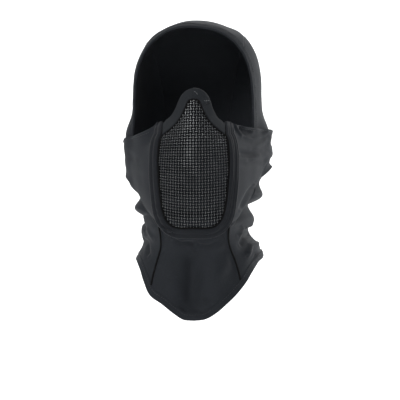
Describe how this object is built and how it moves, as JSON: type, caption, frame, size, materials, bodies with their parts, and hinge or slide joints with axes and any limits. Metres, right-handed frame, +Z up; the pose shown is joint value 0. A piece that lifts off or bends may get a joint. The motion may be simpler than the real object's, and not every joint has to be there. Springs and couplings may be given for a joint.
{
  "type": "balaclava with a wire mesh face guard",
  "caption": "Close-fitting stretch hood with an open eye area, a formed wire mesh guard over nose and mouth, cheek panels and a pointed neck bib, as worn.",
  "frame": {"origin": "inside of the cloth at the top of the crown, where the wearer's head carries the hood", "axes": "+Z up, -Y the way the wearer faces, +X to the right as seen from the front"},
  "size_m": [0.1673, 0.2236, 0.3318],
  "materials": {
    "stretch_cloth": "matt knit",
    "edge_cloth": "smooth matt",
    "seam_cord": "matt",
    "steel_wire": "satin paint"
  },
  "bodies": {
    "root": {"crown_strip": "stretch_cloth", "left_side_panel": "stretch_cloth", "right_side_panel": "stretch_cloth", "face_opening_hem": "stretch_cloth", "left_cheek_panel": "stretch_cloth", "right_cheek_panel": "stretch_cloth", "front_bib": "stretch_cloth", "bottom_hem": "stretch_cloth", "chin_roll": "edge_cloth", "nose_binding": "edge_cloth", "left_bib_piping": "seam_cord", "right_bib_piping": "seam_cord", "mesh_guard": "steel_wire"}
  },
  "joints": []
}
